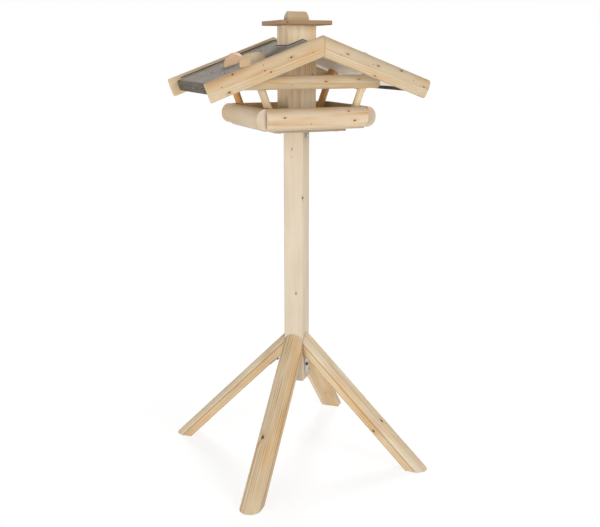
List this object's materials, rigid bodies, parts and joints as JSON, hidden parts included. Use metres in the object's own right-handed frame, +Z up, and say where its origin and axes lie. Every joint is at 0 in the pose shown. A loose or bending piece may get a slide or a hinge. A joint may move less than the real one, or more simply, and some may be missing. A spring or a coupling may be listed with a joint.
{
  "type": "bird table",
  "caption": "Free-standing timber bird table: splayed legs, square post, railed tray and a pitched felt roof with a seed silo rising through the ridge.",
  "frame": {"origin": "on the ground, below the axis of the post", "axes": "+X along the gables, +Y from the front gable to the rear one, +Z up. The stand is turned 42 degrees clockwise under the house, seen from above."},
  "size_m": [0.5494, 0.5228, 1.1095],
  "materials": {
    "timber": "sanded, untreated spruce",
    "timber_pale": "planed, untreated spruce, paler",
    "timber_warm": "sanded offcuts with warm end grain",
    "felt": "grey mineral-faced roofing felt, matt",
    "steel": "zinc-plated"
  },
  "bodies": {
    "root": {"front_left_barge": "timber", "front_left_dormer": "timber_warm", "front_left_dowel": "timber", "front_leg": "timber", "front_leg_strap": "steel", "front_right_barge": "timber", "front_right_dormer": "timber_warm", "front_right_dowel": "timber", "front_silo_board": "timber", "front_strap_leg_screw": "steel", "front_strap_post_screw": "steel", "front_tie_beam": "timber", "front_tray_rail": "timber", "head_plate": "timber", "left_angle_plate_screw": "steel", "left_angle_post_screw": "steel", "left_head_angle": "steel", "left_leg": "timber", "left_leg_strap": "steel", "left_roof_board": "timber_pale", "left_roof_felt": "felt", "left_silo_board": "timber", "left_strap_leg_screw": "steel", "left_strap_post_screw": "steel", "left_tray_rail": "timber", "plate_screw_1": "steel", "plate_screw_2": "steel", "plate_screw_3": "steel", "plate_screw_4": "steel", "post": "timber_pale", "rear_left_barge": "timber", "rear_left_dormer": "timber_warm", "rear_left_dowel": "timber", "rear_leg": "timber", "rear_leg_strap": "steel", "rear_right_barge": "timber", "rear_right_dormer": "timber_warm", "rear_right_dowel": "timber", "rear_silo_board": "timber", "rear_strap_leg_screw": "steel", "rear_strap_post_screw": "steel", "rear_tie_beam": "timber", "rear_tray_rail": "timber", "right_angle_plate_screw": "steel", "right_angle_post_screw": "steel", "right_head_angle": "steel", "right_leg": "timber", "right_leg_strap": "steel", "right_roof_board": "timber_pale", "right_roof_felt": "felt", "right_silo_board": "timber", "right_strap_leg_screw": "steel", "right_strap_post_screw": "steel", "right_tray_rail": "timber", "tray_floor": "timber_pale"},
    "lid": {"lid_board": "timber", "lid_block": "timber", "lid_knob": "timber_warm", "lid_knob_screw": "steel"}
  },
  "joints": [
    {"name": "lid_lift", "type": "slide", "parent": "root", "child": "lid", "axis": [0, 0, 1], "range_m": [0, 0.08]}
  ]
}
